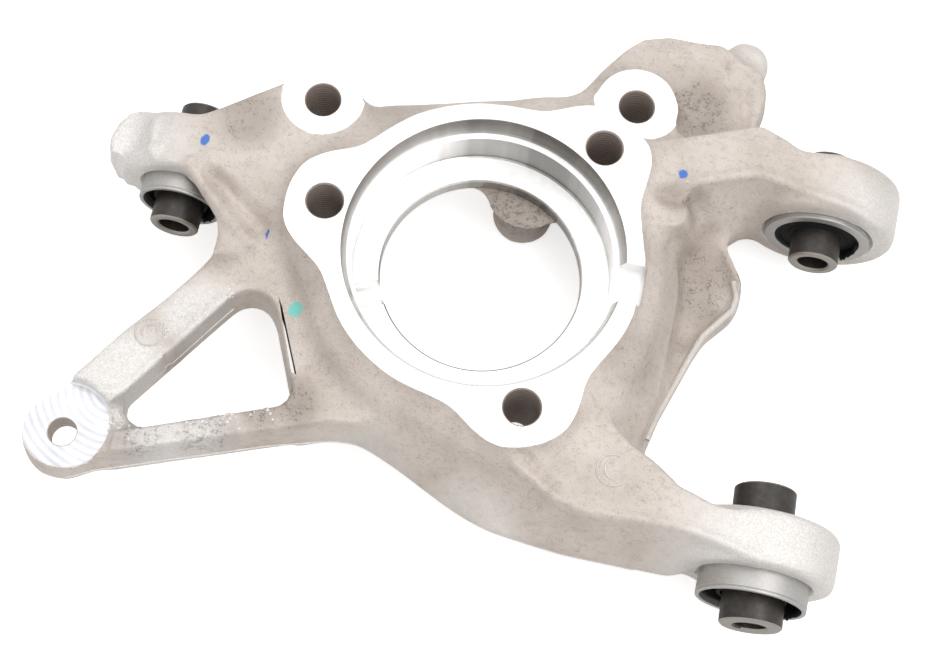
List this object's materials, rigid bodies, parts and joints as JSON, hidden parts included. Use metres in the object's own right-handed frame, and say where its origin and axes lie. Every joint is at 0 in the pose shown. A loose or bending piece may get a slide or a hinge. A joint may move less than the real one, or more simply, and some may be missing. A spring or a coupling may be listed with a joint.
{
  "type": "steering knuckle",
  "caption": "Cast aluminium steering knuckle with a lobed hub face round a stepped bore, an open triangular link frame, a beaded fin and rubber bushings pressed into its arms",
  "frame": {"origin": "centre of the hub bolt circle, in the machined hub face", "axes": "Z along the hub axis, pointing outboard; Y along the two upper bushings; X towards the right-hand arm"},
  "size_m": [0.3221, 0.2495, 0.0647],
  "materials": {
    "cast_aluminium": "matte",
    "bushing_shell": "satin",
    "bushing_rubber": "matte",
    "bushing_sleeve": "satin"
  },
  "bodies": {
    "root": {"knuckle_casting": "cast_aluminium", "left_bushing_shell": "bushing_shell", "left_bushing_rubber": "bushing_rubber", "left_bushing_sleeve": "bushing_sleeve", "right_bushing_shell": "bushing_shell", "right_bushing_rubber": "bushing_rubber", "right_bushing_sleeve": "bushing_sleeve", "lower_bushing_shell": "bushing_shell", "lower_bushing_rubber": "bushing_rubber", "lower_bushing_sleeve": "bushing_sleeve"}
  },
  "joints": []
}
